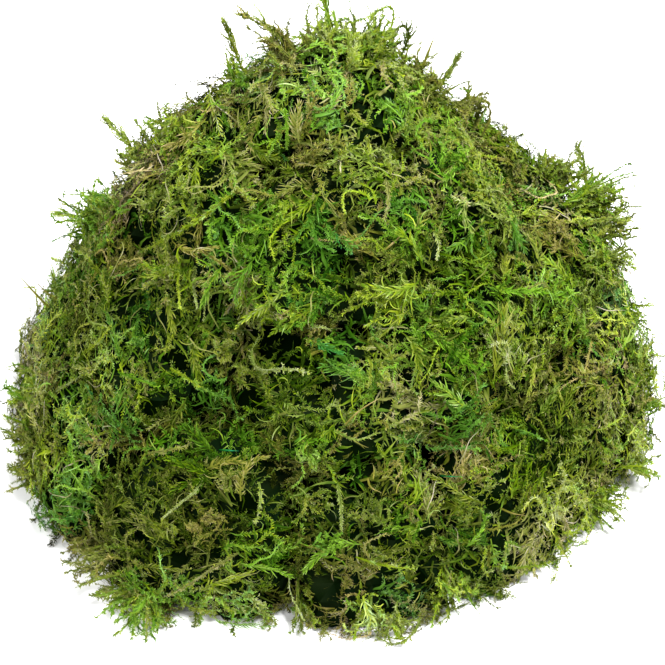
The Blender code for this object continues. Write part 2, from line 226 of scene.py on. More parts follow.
# Fronds that stand out: kind, the pixels that they pass from root to tip, reach in pixels, tone and
# shade. A branch has leafy side shoots, a feather has comb teeth, a shoot has leaves, a stem is bare
BLUE_GREEN = 0.90  # between two of the tones
FRONDS = (
    ("branch", ((253, 182), (225, 197), (202, 218), (174, 235), (136, 252)), 9, YELLOW_GREEN, 0.10),
    ("branch", ((238, 227), (255, 214), (278, 207)), 8, BRIGHT, 0.06),
    ("shoot", ((178, 254), (180, 280), (177, 309)), 5, YELLOW_GREEN, 0.14),
    ("shoot", ((195, 266), (193, 288), (197, 309)), 5, PALE_OLIVE, 0.12),
    ("shoot", ((204, 252), (236, 277), (255, 299), (262, 318)), 4, BROWN, 0.26),
    ("branch", ((250, 360), (261, 373), (287, 367), (313, 376)), 6, PALE_OLIVE, 0.20),
    ("branch", ((192, 384), (212, 394), (234, 402)), 9, GREEN, 0.02),
    ("branch", ((118, 372), (138, 379), (160, 386)), 8, BRIGHT, -0.02),
    ("branch", ((170, 368), (186, 378), (203, 390)), 7, YELLOW_GREEN, 0.04),
    ("branch", ((17, 416), (58, 392), (96, 367), (108, 352)), 6, PALE_OLIVE, 0.10),
    ("shoot", ((82, 354), (98, 344), (112, 327)), 5, YELLOW_GREEN, 0.18),
    ("branch", ((148, 453), (170, 450), (193, 443)), 7, TAN_OLIVE, 0.06),
    ("branch", ((70, 238), (92, 226), (112, 206)), 11, FRESH, 0.02),
    ("feather", ((204, 470), (226, 462), (248, 460)), 9, BROWN, -0.08),
    ("shoot", ((386, 178), (388, 200), (385, 220)), 6, TAN_OLIVE, 0.12),
    ("branch", ((332, 145), (345, 156), (358, 182)), 7, OLIVE, 0.12),
    ("shoot", ((434, 232), (438, 245), (437, 258)), 5, PALE_OLIVE, 0.22),
    ("stem", ((384, 251), (396, 238), (410, 230)), 0, BROWN, 0.26),
    ("feather", ((484, 286), (510, 292), (540, 291), (570, 296)), 9, BRIGHT, 0.0),
    ("feather", ((420, 327), (446, 344), (478, 371)), 12, BRIGHT, -0.05),
    ("branch", ((328, 359), (346, 370), (364, 377)), 9, GREEN, 0.02),
    ("feather", ((537, 352), (534, 382), (523, 409)), 5, OLIVE, 0.12),
    ("feather", ((538, 352), (545, 385), (546, 417)), 5, TAN_OLIVE, 0.14),
    ("feather", ((540, 352), (560, 385), (569, 422)), 5, OLIVE, 0.10),
    ("stem", ((345, 425), (362, 410), (383, 402)), 0, BROWN, 0.26),
    ("branch", ((420, 412), (436, 414), (452, 420)), 8, GREEN, 0.02),
    ("branch", ((452, 436), (466, 445), (482, 450)), 8, GREEN, 0.04),
    ("branch", ((515, 430), (530, 433), (548, 440)), 8, GREEN, 0.04),
    ("branch", ((567, 300), (578, 308), (580, 325)), 6, PALE_OLIVE, 0.10),
    ("shoot", ((60, 300), (48, 296), (34, 286)), 4, BROWN, 0.06),
    ("branch", ((410, 139), (433, 133), (444, 146)), 6, BRIGHT, 0.10),
    ("shoot", ((285, 108), (288, 128), (286, 149)), 5, BRIGHT, 0.10),
    ("stem", ((376, 45), (383, 56), (384, 68)), 0, DARK_BROWN, 0.20),
    ("shoot", ((351, 109), (355, 116), (362, 126)), 6, OLIVE, 0.12),
    ("branch", ((238, 553), (212, 569), (186, 585), (159, 597)), 4, TAN_OLIVE, 0.16),
    ("shoot", ((313, 549), (295, 565), (283, 583), (303, 622)), 4, PALE_OLIVE, 0.18),
    ("branch", ((259, 482), (262, 500), (256, 525)), 5, PALE_OLIVE, 0.10),
    ("shoot", ((299, 480), (307, 500), (304, 518), (292, 522)), 5, OLIVE, 0.10),
    ("shoot", ((338, 484), (341, 505), (340, 531)), 5, PALE_OLIVE, 0.10),
    ("shoot", ((202, 472), (200, 492), (188, 497), (162, 517)), 4, PALE_OLIVE, 0.20),
    ("stem", ((368, 478), (373, 488), (382, 494)), 0, BROWN, 0.20),
    ("feather", ((308, 338), (322, 348), (346, 355)), 10, BLUE_GREEN, 0.0),
    ("stem", ((219, 450), (230, 451), (243, 450)), 0, TEAL, 0.02),
    ("stem", ((439, 475), (451, 477), (464, 478)), 0, TEAL, 0.02),
    ("stem", ((305, 24), (310, 32), (315, 40)), 0, DARK_BROWN, 0.10),
    ("stem", ((392, 55), (397, 48), (403, 42)), 0, DARK_BROWN, 0.10),
    ("branch", ((356, 557), (381, 567), (416, 567)), 9, YELLOW_GREEN, 0.08),
    ("feather", ((438, 536), (446, 542), (458, 544)), 6, GREEN, 0.10),
    ("feather", ((466, 547), (474, 538), (485, 524)), 6, BRIGHT, 0.14),
    ("stem", ((500, 508), (512, 514), (524, 517)), 0, BROWN, 0.20),
    ("branch", ((82, 508), (76, 514), (66, 519)), 9, DEEP, 0.0),
    ("feather", ((74, 539), (98, 562), (126, 588)), 13, TAN_OLIVE, 0.02),
    ("branch", ((126, 572), (136, 582), (150, 592)), 7, BRIGHT, 0.10),
    ("shoot", ((125, 228), (110, 240), (92, 244)), 5, FRESH, 0.10),
    ("shoot", ((300, 330), (318, 324), (334, 330)), 5, PALE_OLIVE, 0.12),
    ("branch", ((470, 180), (492, 190), (506, 210)), 7, FRESH, 0.08),
    ("branch", ((620, 320), (632, 340), (636, 366)), 7, FRESH, 0.04),
)
# Plumes: fans whose long teeth lean to the tip, in the same way
PLUMES = (
    ("plume", ((503, 279), (503, 250), (502, 228)), 15, OLIVE, 0.14),
    ("plume", ((494, 380), (500, 345), (505, 308)), 24, OLIVE, 0.06),
    ("plume", ((592, 262), (560, 246), (528, 236)), 16, BROWN, 0.04),
)
# Balls of curled shoots: x, y, radius, tone and shade
BALLS = (
    (225, 352, 17, OLIVE, 0.08), (308, 454, 11, FRESH, 0.16), (330, 541, 15, BRIGHT, 0.12),
    (200, 524, 14, BROWN, 0.08), (215, 520, 11, BROWN, 0.08), (392, 306, 20, YELLOW_GREEN, -0.02),
    (166, 529, 11, OLIVE, 0.08), (330, 118, 12, GREEN, 0.10), (230, 481, 13, TAN_OLIVE, 0.12),
    (365, 606, 17, YELLOW_GREEN, 0.12), (555, 235, 14, BROWN, 0.06), (50, 372, 14, PALE_OLIVE, 0.08),
)
# Branches that reach past the tufts' outline: the pixels that they pass, and their tone
EDGE_FRONDS = (
    ((598, 205), (614, 208), (628, 216), FRESH), ((604, 222), (620, 226), (633, 240), BRIGHT),
    ((606, 236), (622, 246), (634, 264), FRESH), ((594, 192), (606, 186), (620, 184), YELLOW_GREEN),
    ((596, 214), (612, 222), (626, 230), BRIGHT), ((590, 185), (600, 176), (606, 172), PALE_OLIVE),
    ((602, 200), (616, 196), (626, 200), PALE_OLIVE), ((612, 250), (626, 258), (636, 272), YELLOW_GREEN),
    ((98, 545), (78, 546), (57, 554), OLIVE), ((108, 562), (88, 566), (62, 571), TAN_OLIVE),
    ((122, 574), (100, 580), (76, 590), PALE_OLIVE), ((143, 589), (134, 612), (132, 642), FRESH),
    ((146, 589), (146, 616), (143, 642), YELLOW_GREEN), ((148, 589), (156, 610), (160, 635), FRESH),
    ((140, 590), (128, 606), (114, 622), YELLOW_GREEN), ((136, 588), (120, 594), (100, 600), OLIVE),
    ((176, 592), (188, 608), (213, 612), YELLOW_GREEN), ((222, 596), (226, 606), (238, 612), PALE_OLIVE),
    ((260, 600), (262, 612), (276, 618), PALE_OLIVE), ((296, 604), (300, 618), (304, 632), YELLOW_GREEN),
    ((421, 610), (418, 630), (400, 644), (374, 638), PALE_OLIVE),
    ((360, 612), (358, 628), (354, 640), YELLOW_GREEN),
    ((388, 612), (392, 622), (398, 632), OLIVE), ((470, 598), (474, 606), (478, 614), FRESH),
    ((492, 566), (520, 570), (552, 562), YELLOW_GREEN), ((555, 530), (560, 545), (570, 566), OLIVE),
    ((590, 500), (608, 500), (627, 498), YELLOW_GREEN), ((592, 506), (606, 516), (612, 530), FRESH),
    ((598, 506), (614, 510), (628, 522), PALE_OLIVE), ((612, 470), (636, 466), (658, 471), YELLOW_GREEN),
    ((636, 384), (650, 376), (662, 362), FRESH), ((640, 404), (652, 406), (662, 412), PALE_OLIVE),
    ((28, 402), (14, 396), (2, 386), FRESH), ((28, 424), (14, 418), (1, 412), YELLOW_GREEN),
    ((30, 468), (16, 470), (4, 466), PALE_OLIVE), ((34, 484), (20, 488), (8, 492), PALE_OLIVE),
    ((352, 46), (346, 32), (346, 20), YELLOW_GREEN), ((366, 48), (368, 34), (374, 22), YELLOW_GREEN),
    ((312, 52), (304, 40), (300, 28), OLIVE), ((292, 58), (272, 44), (247, 26), TAN_OLIVE),
    ((330, 44), (326, 24), (325, 6), FRESH), ((340, 46), (338, 34), (334, 24), YELLOW_GREEN),
    ((282, 60), (276, 48), (274, 36), TAN_OLIVE), ((130, 170), (124, 160), (116, 150), PALE_OLIVE),
    ((92, 226), (78, 218), (60, 206), YELLOW_GREEN), ((562, 172), (566, 162), (572, 154), TAN_OLIVE),
    ((512, 160), (516, 152), (519, 144), TAN_OLIVE), ((426, 74), (434, 80), (440, 90), BROWN),
    ((440, 96), (456, 86), (470, 83), PALE_OLIVE),
    ((480, 138), (494, 118), (490, 100), (477, 98), TAN_OLIVE),
    ((372, 64), (381, 44), (393, 24), (398, 9), (386, 4), (368, 14), (354, 22), YELLOW_GREEN),
    ((230, 66), (230, 54), (236, 58), PALE_OLIVE), ((196, 104), (190, 98), (184, 97), BROWN),
    ((418, 66), (418, 42), (420, 46), OLIVE), ((406, 60), (408, 48), (411, 38), OLIVE),
    ((600, 208), (610, 196), (616, 190), FRESH), ((608, 224), (620, 214), (626, 206), YELLOW_GREEN),
    ((618, 258), (628, 250), (634, 256), PALE_OLIVE), ((28, 440), (16, 436), (4, 430), PALE_OLIVE),
    ((28, 452), (14, 452), (5, 446), FRESH), ((306, 50), (304, 38), (310, 28), TAN_OLIVE),
    ((318, 48), (314, 36), (318, 28), YELLOW_GREEN), ((160, 134), (150, 126), (146, 120), PALE_OLIVE),
    ((148, 150), (136, 142), (124, 140), PALE_OLIVE), ((98, 214), (84, 206), (76, 200), YELLOW_GREEN),
    ((84, 238), (72, 232), (66, 226), FRESH), ((146, 592), (150, 614), (150, 630), PALE_OLIVE),
    ((590, 512), (600, 522), (600, 528), YELLOW_GREEN), ((630, 462), (642, 458), (652, 462), FRESH),
)

# Tussocks that bulge past the tufts' outline: the pixels of their root and top, their width in
# pixels, how many fronds they have and their tone
TUSSOCKS = (
    ((588, 200), (612, 182), 28, 50, YELLOW_GREEN), ((596, 226), (626, 212), 26, 46, OLIVE),
    ((604, 258), (632, 258), 20, 20, PALE_OLIVE), ((562, 182), (574, 164), 22, 26, OLIVE),
    ((546, 174), (552, 156), 18, 14, YELLOW_GREEN), ((106, 214), (74, 208), 26, 50, FRESH),
    ((100, 236), (72, 232), 22, 36, BRIGHT), ((430, 88), (446, 76), 16, 16, OLIVE),
    ((410, 74), (422, 58), 14, 12, TAN_OLIVE), ((146, 158), (130, 138), 24, 30, PALE_OLIVE),
    ((168, 136), (150, 122), 20, 18, YELLOW_GREEN), ((130, 170), (116, 162), 14, 10, TAN_OLIVE),
    ((242, 80), (222, 68), 18, 16, FRESH), ((60, 292), (44, 280), 16, 12, YELLOW_GREEN),
    ((34, 396), (10, 388), 28, 32, YELLOW_GREEN), ((34, 446), (10, 440), 28, 32, OLIVE),
    ((34, 474), (12, 474), 18, 16, OLIVE), ((106, 556), (74, 562), 24, 26, TAN_OLIVE),
    ((124, 586), (108, 604), 18, 14, OLIVE), ((142, 592), (142, 636), 24, 26, FRESH),
    ((324, 44), (325, 6), 12, 22, YELLOW_GREEN), ((288, 56), (264, 32), 24, 36, TAN_OLIVE),
    ((368, 50), (372, 20), 26, 26, YELLOW_GREEN), ((344, 50), (346, 22), 26, 24, PALE_OLIVE),
    ((300, 610), (300, 630), 18, 10, PALE_OLIVE), ((392, 608), (396, 640), 20, 16, PALE_OLIVE),
    ((450, 586), (458, 612), 28, 22, YELLOW_GREEN), ((598, 496), (612, 520), 22, 20, YELLOW_GREEN),
    ((636, 400), (658, 384), 24, 20, FRESH), ((638, 420), (658, 424), 20, 12, PALE_OLIVE),
    ((636, 466), (654, 470), 16, 12, YELLOW_GREEN), ((632, 310), (646, 322), 14, 10, FRESH),
    ((466, 104), (486, 104), 18, 18, TAN_OLIVE),
)

# The sprigs that stand off the heap, planted as in part.py: azimuth, elevation, heading, rise and
# curl in degrees, length and reach in metres
Sprig = namedtuple("Sprig", "azimuth elevation towards rise length reach pairs curl tone")
SPRIGS = {
    "crown_frond_left": Sprig(-124, 81, -113, 30, 0.017, 0.0048, 4, -25, TAN_OLIVE),
    "crown_frond_upright": Sprig(-167, 88, -150, 64, 0.019, 0.0040, 5, -15, YELLOW_GREEN),
    "crown_frond_arch": Sprig(98, 79, 130, 44, 0.028, 0.0036, 7, 190, PALE_OLIVE),
    "right_upper_curl": Sprig(105, 57, 141, 41, 0.020, 0.0028, 5, 170, TAN_OLIVE),
    "right_upper_sprig": Sprig(138, 52, 133, 37, 0.011, 0.0034, 3, 20, PALE_OLIVE),
    "right_shoulder_frond": Sprig(105, 16, -150, 44, 0.025, 0.0050, 6, 15, PALE_OLIVE),
    "left_shoulder_frond": Sprig(-125, 22, -131, 36, 0.016, 0.0042, 4, -25, PALE_OLIVE),
    "left_flank_frond": Sprig(-118, 3, -100, 11, 0.014, 0.0042, 4, -20, PALE_OLIVE),
    "back_flank_frond": Sprig(165, 34, 165, 52, 0.020, 0.0048, 5, -30, PALE_OLIVE),
    "back_shoulder_frond": Sprig(-147, 52, -140, 50, 0.018, 0.0044, 4, 30, OLIVE),
    "crown_twig": Sprig(110, 73, 150, 52, 0.012, 0, 0, -25, BROWN),
    "left_bare_stem": Sprig(-92, 1, -124, 32, 0.016, 0, 0, 15, BROWN),
    "right_bare_stem": Sprig(94, 20, 133, 37, 0.014, 0, 0, 40, BROWN),
}
UPRIGHT = Vector((0, -0.3, 1))
HEAP_CENTRE, HEAP_WIDTH = Vector((0, 0, 0.030)), 0.226
ROOT_GAP, STEM_THICK, SPRIG_STEPS = 0.0010, 0.0014, 16
BARE_WIDTH, BARE_TEETH = 0.0009, 0.0010

draws = np.random.RandomState(41)

Path = namedtuple("Path", "centre along up across")


def unit(v):
    """Directions, each one long."""
    return v / np.maximum(np.linalg.norm(v, axis=-1, keepdims=True), TINY)


def dot(a, b):
    return (a * b).sum(-1, keepdims=True)


def between(low, high, *shape):
    """Random numbers from low to high."""
    low, high = np.array(low), np.array(high)
    return low + (high - low) * draws.random_sample(shape)


def spread_over(total, count):
    """Places in even steps from 0 to a total, each at random within its own step."""
    return (np.arange(count) + draws.random_sample(count)) / count * total


def one(value):
    return np.array([value], float)


# The tufts


def merged_mesh(name):
    """A node's points, each once, and its triangles."""
    mesh = frame["nodes"][name].data
    mesh.calc_loop_triangles()
    points = np.empty(len(mesh.vertices) * 3)
    mesh.vertices.foreach_get("co", points)
    corners = np.empty(len(mesh.loop_triangles) * 3, int)
    mesh.loop_triangles.foreach_get("vertices", corners)
    keys = np.round(points.reshape(-1, 3) / POINT_MERGE).astype(int)
    _, first, back = np.unique(keys, axis=0, return_index=True, return_inverse=True)
    return points.reshape(-1, 3)[first], back.reshape(-1)[corners].reshape(-1, 3)


def without_tips(points, faces):
    """The tuft with its tips taken off: the faces under them, the rest, and the tip points."""
    is_tip = np.bincount(faces.ravel(), minlength=len(points)) == 3
    of_tip = is_tip[faces].sum(1) == 1
    tips = np.flatnonzero(is_tip)
    opened = []
    for tip in tips:
        follow = {}
        for face in faces[(faces == tip).any(1)]:
            at = list(face).index(tip)
            follow[face[(at + 1) % 3]] = face[(at + 2) % 3]
        start = min(follow)
        opened.append((start, follow[start], follow[follow[start]]))
    return np.array(opened, int).reshape(-1, 3), faces[~of_tip], tips


def tuft_tree(tipped):
    """The tufts, with or without their tips, as one tree that rays can be cast on."""
    points, faces = [], []
    for name in tufts:
        own, corners = merged_mesh(name)
        if not tipped:
            corners = np.concatenate(without_tips(own, corners)[:2])
        faces += (corners + len(points)).tolist()
        points += own.tolist()
    return BVHTree.FromPolygons(points, faces)


def crossed(corners):
    """The normal of each face, as long as twice its area."""
    return np.cross(corners[:, 1] - corners[:, 0], corners[:, 2] - corners[:, 0])


def point_normals(points, faces):
    normals = np.zeros_like(points)
    across = crossed(points[faces])
    for i in range(3):
        np.add.at(normals, faces[:, i], across)
    return unit(normals)


def core_mesh(points, normals, opened, rest):
    """The inside of a tuft, drawn back from the open air and furthest in the holes, in a nearly black
    tone that is painted shade.
    """
    drawn = points.copy()
    seen = np.unique(opened)
    depth = CORE_DEPTH - np.minimum(swell_at(points[seen]), 0)
    for x, y, radius in HOLES:
        depth[near_pixel(points[seen], x, y, radius)] = PIT_DEPTH
    drawn[seen] -= normals[seen] * depth[:, None]
    drawn[:, 2] = np.maximum(drawn[:, 2], FLOOR_GAP)
    faces = drawn[np.concatenate([opened, rest])]
    maps = between(*CORE_MAP, len(faces), 3, 2)
    # painted shade: the core is darkest in and round each hole
    for x, y, radius in HOLES:
        maps[near_pixel(faces.mean(1), x, y, radius + PIT_MARGIN), :, 1] = PIT_SHADE
    return np.concatenate([faces, maps], -1)


# Growing


def grow(root, along, up, length, side_bend, up_bend, steps, sway=0.0):
    """Paths that start at the roots and bend evenly, in radians in all, and sway to each side.

    They glide on the floor.
    """
    along = unit(along)
    up = unit(up - along * dot(up, along))
    point = root
    found = []
    step = (length / steps)[:, None]
    side, rise = (side_bend / steps)[:, None], (up_bend / steps)[:, None]
    phase = draws.random_sample((len(root), 1)) * math.tau
    for place in range(steps + 1):
        across = np.cross(up, along)
        found.append((point, along, up, across))
        turn = side + sway * np.sin(phase + place * SWAY_PACE)
        along = unit(along + across * turn + up * rise)
        low = (point[:, 2:] < GLIDE_HEIGHT) & (along[:, 2:] < 0)
        flat = along * np.array((1, 1, GLIDE_DROP))
        along = unit(np.where(low, flat, along))
        up = unit(up - along * dot(up, along))
        point = point + along * step
    return Path(*(np.stack(part, 1) for part in zip(*found)))


def through(points, up, steps):
    """A path through points, with its corners rounded, and its length."""
    for _ in range(2):
        before, after = points[:-1], points[1:]
        first = before * (1 - CORNER_CUT) + after * CORNER_CUT
        second = before * CORNER_CUT + after * (1 - CORNER_CUT)
        cut = np.stack([first, second], 1).reshape(-1, 3)
        points = np.concatenate([points[:1], cut, points[-1:]])
    far = np.concatenate([[0], np.cumsum(np.linalg.norm(np.diff(points, axis=0), axis=1))])
    at = np.linspace(0, far[-1], steps + 1)
    centre = np.stack([np.interp(at, far, points[:, i]) for i in range(3)], 1)
    along = unit(np.gradient(centre, axis=0))
    rise = unit(up - along * dot(up, along))
    return Path(*(part[None] for part in (centre, along, rise, np.cross(rise, along)))), far[-1]


def on_path(path, t):
    """The place and the directions at each share t of each path."""
    steps = path.centre.shape[1] - 1
    place = np.clip(t, 0, 1) * steps
    low = np.minimum(place.astype(int), steps - 1)
    share = (place - low)[..., None]
    rows = np.arange(len(low))[:, None]
    return Path(*(part[rows, low] * (1 - share) + part[rows, low + 1] * share for part in path))


def mapped(place, u, v):
    """Corners of faces: their place, and behind it their u and v in the colour map."""
    return np.concatenate([place, np.stack([u, v], -1)], -1)


def joined(*parts):
    """Faces of the same fronds, put together."""
    return np.concatenate(parts, 1)


def ribbon(path, width, tone, shade):
    """A flat tapering blade along each path, with its tone and its shade from foot to tip."""
    steps = path.centre.shape[1] - 1
    share = np.linspace(0, 1, steps + 1)
    widening = FOOT_WIDTH + (1 - FOOT_WIDTH) * share / WIDEST
    taper = np.where(share < WIDEST, widening, 1 - (share - WIDEST) / (1 - WIDEST))
    half = path.across * (width[:, None] * taper / 2)[..., None]
    u = np.repeat(tone[:, None], steps + 1, 1)
    v = shade[0][:, None] + (shade[1] - shade[0])[:, None] * share
    v = v + draws.normal(0, BODY_MOTTLE, v.shape)
    # painted light and shade: one edge lighter, the other darker, so that the blade looks round
    edge = draws.choice((-EDGE_LIGHT, EDGE_LIGHT), (len(tone), 1))
    left = mapped(path.centre + half, u - HALF_U, v - edge)
    right = mapped(path.centre - half, u + HALF_U, v + edge)
    faces = []
    for i in range(steps):
        faces.append(np.stack([left[:, i], right[:, i], right[:, i + 1]], 1))
        if i < steps - 1:
            faces.append(np.stack([left[:, i], right[:, i + 1], left[:, i + 1]], 1))
    return np.stack(faces, 1)


def stalk(path, width, tone, shade):
    """A thin stem, as two crossed blades so that it shows from every side."""
    edge_on = path._replace(across=path.up)
    return joined(ribbon(path, width, tone, shade), ribbon(edge_on, width, tone, shade))


def leafy(path, count, length, tone, shade):
    """A leafy shoot: small pointed leaves down both sides of each path, foot to foot."""
    n = len(tone)
    t = (np.arange(count) + between(0.1, 0.9, n, count)) / count
    spot = on_path(path, t)
    side = np.where(np.arange(count) % 2, 1.0, -1.0)
    lean = between(*LEAF_LEAN, n, count)
    roll = between(-0.8, 0.8, n, count)
    size = length[:, None] * between(0.7, 1.25, n, count) * (1.05 - 0.45 * t)
    out = spot.across * (side * np.cos(roll))[..., None] + spot.up * np.sin(roll)[..., None]
    point = spot.along * np.cos(lean)[..., None] + out * np.sin(lean)[..., None]
    tip = spot.centre + point * size[..., None]
    base = spot.along * LEAF_BASE / 2
    u = tone[:, None] + between(-LEAF_TONE, LEAF_TONE, n, count)
    gain = TIP_LIGHT * (t - 0.5)
    v = shade[0][:, None] + between(*LEAF_SHADE, n, count) + gain
    v_tip = shade[1][:, None] + between(*LEAF_TIP_SHADE, n, count) + gain
    left = mapped(spot.centre - base, u - HALF_U, v)
    right = mapped(spot.centre + base, u + HALF_U, v)
    return np.stack([left, right, mapped(tip, u, v_tip)], 2)


def side_paths(path, pairs, reach, angle, curve, jitter):
    """Side shoots down both sides of each path: longest in the middle, leaning to its tip."""
    n, count = len(reach), pairs * 2
    t = 0.10 + 0.87 * (np.arange(count) + jitter * between(-1, 1, n, count)) / count
    t = np.clip(t, 0.02, 0.97)
    spot = on_path(path, t)
    side = np.where(np.arange(count) % 2, 1.0, -1.0) * np.ones((n, count))
    lean = angle[0] + (angle[1] - angle[0]) * t + between(-0.22, 0.22, n, count)
    lift = between(-0.35, 0.35, n, count)
    along = (
        spot.along * np.cos(lean)[..., None]
        + spot.across * (side * np.sin(lean))[..., None]
        + spot.up * lift[..., None]
    )
    full = np.sin(math.pi * (0.20 + 0.74 * t)) ** 0.8
    size = reach[:, None] * full * between(0.55, 1.25, n, count)
    flat = [part.reshape(n * count, 3) for part in (spot.centre, along, spot.up)]
    bend = (-side * curve * between(0.3, 1.3, n, count)).ravel()
    rise = between(-0.5, 0.5, n * count)
    return grow(*flat, size.ravel(), bend, rise, SIDE_STEPS), count


def feather(path, pairs, reach, tone, shade, angle=SIDE_LEAN, curve=0.7):
    """A frond of fine curved blades, close together like a comb's teeth."""
    n = len(tone)
    sides, count = side_paths(path, pairs, reach, angle, curve, 0.35)
    tones = (tone[:, None] + between(-0.03, 0.03, n, count)).ravel()
    low = (shade[0][:, None] + between(-0.12, 0.08, n, count)).ravel()
    high = (shade[1][:, None] + between(-0.26, 0.12, n, count)).ravel()
    width = BLADE_WIDTH * between(0.8, 1.3, n * count)
    teeth = ribbon(sides, width, tones, (low, high)).reshape(n, -1, 3, 5)
    stem_tone = tone * (1 - STEM_BROWN) + BROWN * STEM_BROWN
    return joined(teeth, ribbon(path, np.full(n, STEM_WIDTH), stem_tone, shade))


def branched(path, pairs, reach, per_side, on_stem, size, tone, shade, angle=SIDE_LEAN, body=0):
    """A leafy shoot with leafy side shoots, some lighter than others, and a body under the leaves."""
    n = len(tone)
    sides, count = side_paths(path, pairs, reach, angle, 2.2, 0.9)
    tones = (tone[:, None] + draws.normal(0, FROND_TONE, (n, count))).ravel()
    own = draws.normal(0, SIDE_SHADE, (n, count))
    low = (shade[0][:, None] + own).ravel()
    high = (shade[1][:, None] + own).ravel()
    shoots = leafy(sides, per_side, np.repeat(size, count), tones, (low, high))
    stem = leafy(path, on_stem, size, tone, shade)
    if body:
        # painted shade: the blades under the side shoots' leaves are a little darker than the leaves
        shoots = joined(shoots, ribbon(sides, np.full(n * count, body), tones, (low, high - 0.1)))
        stem = joined(stem, stalk(path, np.full(n, body * 1.3), tone, shade))
    return joined(shoots.reshape(n, -1, 3, 5), stem)


# Places in the picture


def way_to(x, y):
    """The direction from the camera through a pixel of the picture."""
    focal = LENS / SENSOR * PICTURE
    ahead = Vector((0, math.cos(CAMERA_DOWN), -math.sin(CAMERA_DOWN)))
    above = Vector((0, math.sin(CAMERA_DOWN), math.cos(CAMERA_DOWN)))
    way = ahead * focal + Vector((1, 0, 0)) * (x - PICTURE / 2) - above * (y - PICTURE / 2)
    return way.normalized()


def seen_at(x, y):
    """The place on the tufts that shows at a pixel of the picture, and the face's normal.

    A pixel off the tufts, or in a gap between two, is drawn in towards the middle.
    """
    for inward in np.arange(0, 0.5, 0.02):
        right, low = (x - PICTURE / 2) * (1 - inward), (y - PICTURE / 2) * (1 - inward)
        way = way_to(PICTURE / 2 + right, PICTURE / 2 + low)
        place, normal, _, _ = tree.ray_cast(CAMERA_PLACE, way)
        if place is not None:
            return np.array(place), np.array(normal)
    raise ValueError(f"nothing shows near the pixel {x}, {y}")


def beside(place, x, y):
    """The point that shows at a pixel beside the tufts: as far off as a place, or on the floor."""
    way = np.array(way_to(x, y))
    camera = np.array(CAMERA_PLACE)
    level = camera + way * dot(place - camera, way)
    floor = camera - way * (camera[2] - FLOOR_REST) / way[2]
    return min(level, floor, key=lambda point: np.linalg.norm(point - place))


def far_from(spot, x, y):
    """How far each spot is from what shows at a pixel of the picture."""
    return np.linalg.norm(spot - seen_at(x, y)[0], axis=1)


def near_pixel(spot, x, y, radius):
    """Which spots are within a radius of what shows at a pixel, with an uneven edge."""
    return far_from(spot, x, y) < radius * PIXEL * between(*RAGGED_EDGE, len(spot))


def fading(spot, x, y, radius, reach):
    """1 near what shows at a pixel, and less further off, down to 0 at a reach, given in radii."""
    return np.clip(reach - far_from(spot, x, y) / (radius * PIXEL), 0, 1)


def swell_at(spot):
    """How far the moss stands out of the tufts or sinks into them at each spot."""
    swell = np.zeros(len(spot))
    for _, x, y, radius, extra in PATCH_ROWS:
        out = PATCH_LIFT if extra > 0 else -PATCH_LIFT / 2
        swell += out * fading(spot, x, y, radius, PATCH_FADE)
    for x, y, radius in HOLES:
        swell -= HOLE_SINK * fading(spot, x, y, radius, HOLE_FADE)
    return swell


# Where the fronds are


def in_open_air(spots, ways):
    """Whether nothing is over each spot, one way."""
    clear = np.empty(len(spots), bool)
    for i, (spot, way) in enumerate(zip(spots, ways)):
        start = Vector(spot) + Vector(way) * RAY_START
        clear[i] = tree.ray_cast(start, Vector(way), OPEN_AIR)[0] is None
    return clear


def spots_on(index, name):
    """A tuft's core, and spots spread over what shows of it, with their normals and flow."""
    points, faces = merged_mesh(name)
    opened, rest, tips = without_tips(points, faces)
    skin = np.concatenate([opened, rest])
    normals = point_normals(points, skin)
    corners = points[skin]
    across = crossed(corners)
    area = np.linalg.norm(across, axis=1) / 2
    under_tips = unit(across)[: len(opened)]
    middle = corners.mean(1)[: len(opened)]
    tip = points[tips] - middle
    flow = unit(tip - under_tips * dot(tip, under_tips))
    count = int(area.sum() * SPOTS_PER_AREA)
    reach = np.cumsum(area)
    place = spread_over(reach[-1], count)
    face = np.minimum(np.searchsorted(reach, place), len(reach) - 1)
    a, b = draws.random_sample(count), draws.random_sample(count)
    over = a + b > 1
    a, b = np.where(over, 1 - a, a), np.where(over, 1 - b, b)
    share = np.stack([1 - a - b, a, b], -1)[..., None]
    spot = (corners[face] * share).sum(1)
    normal = unit((normals[skin][face] * share).sum(1))
    normal = unit(normal + unit(spot - HEART) * OUTWARD)
    way = unit(np.stack([normal[:, 0], normal[:, 1], np.maximum(normal[:, 2], 0.05)], -1))
    keep = in_open_air(spot, way) & (spot[:, 2] > LOWEST_SPOT)
    spot, normal = spot[keep], normal[keep]
    if len(opened):
        own_flow = flow[((spot[:, None] - middle[None]) ** 2).sum(-1).argmin(1)]
    else:
        own_flow = np.cross(normal, (0, 0, 1.0))
    own_flow = unit(own_flow - normal * dot(own_flow, normal))
    core = core_mesh(points, normals, opened, rest)
    return core, spot, normal, own_flow, np.full(len(spot), index)


tufts = sorted(n for n in frame["nodes"] if "_tuft" in n)
slots = {s["node"]: s["material_slot"] for s in frame["record"]["subparts"]}
tree = tuft_tree(tipped=False)
found = [spots_on(index, name) for index, name in enumerate(tufts)]
spots, normals_at, flow_at, owners = (np.concatenate([f[i] for f in found]) for i in range(1, 5))
soup = {name: [part[0]] for name, part in zip(tufts, found)}


def scatter(count):
    """Spots spread evenly over what shows: place, normal, flow and tuft."""
    pick = spread_over(len(spots), count).astype(int)
    return spots[pick], normals_at[pick], flow_at[pick], owners[pick]


def add(owner, faces):
    """Gives each frond's faces to the tuft that it is on."""
    for index, name in enumerate(tufts):
        mine = owner == index
        if mine.any():
            soup[name].append(faces[mine].reshape(-1, 3, 5))


# The wads: small bundles of fronds that lie one way and share a tone

Wad = namedtuple("Wad", "spot along tone shade lift hollow")


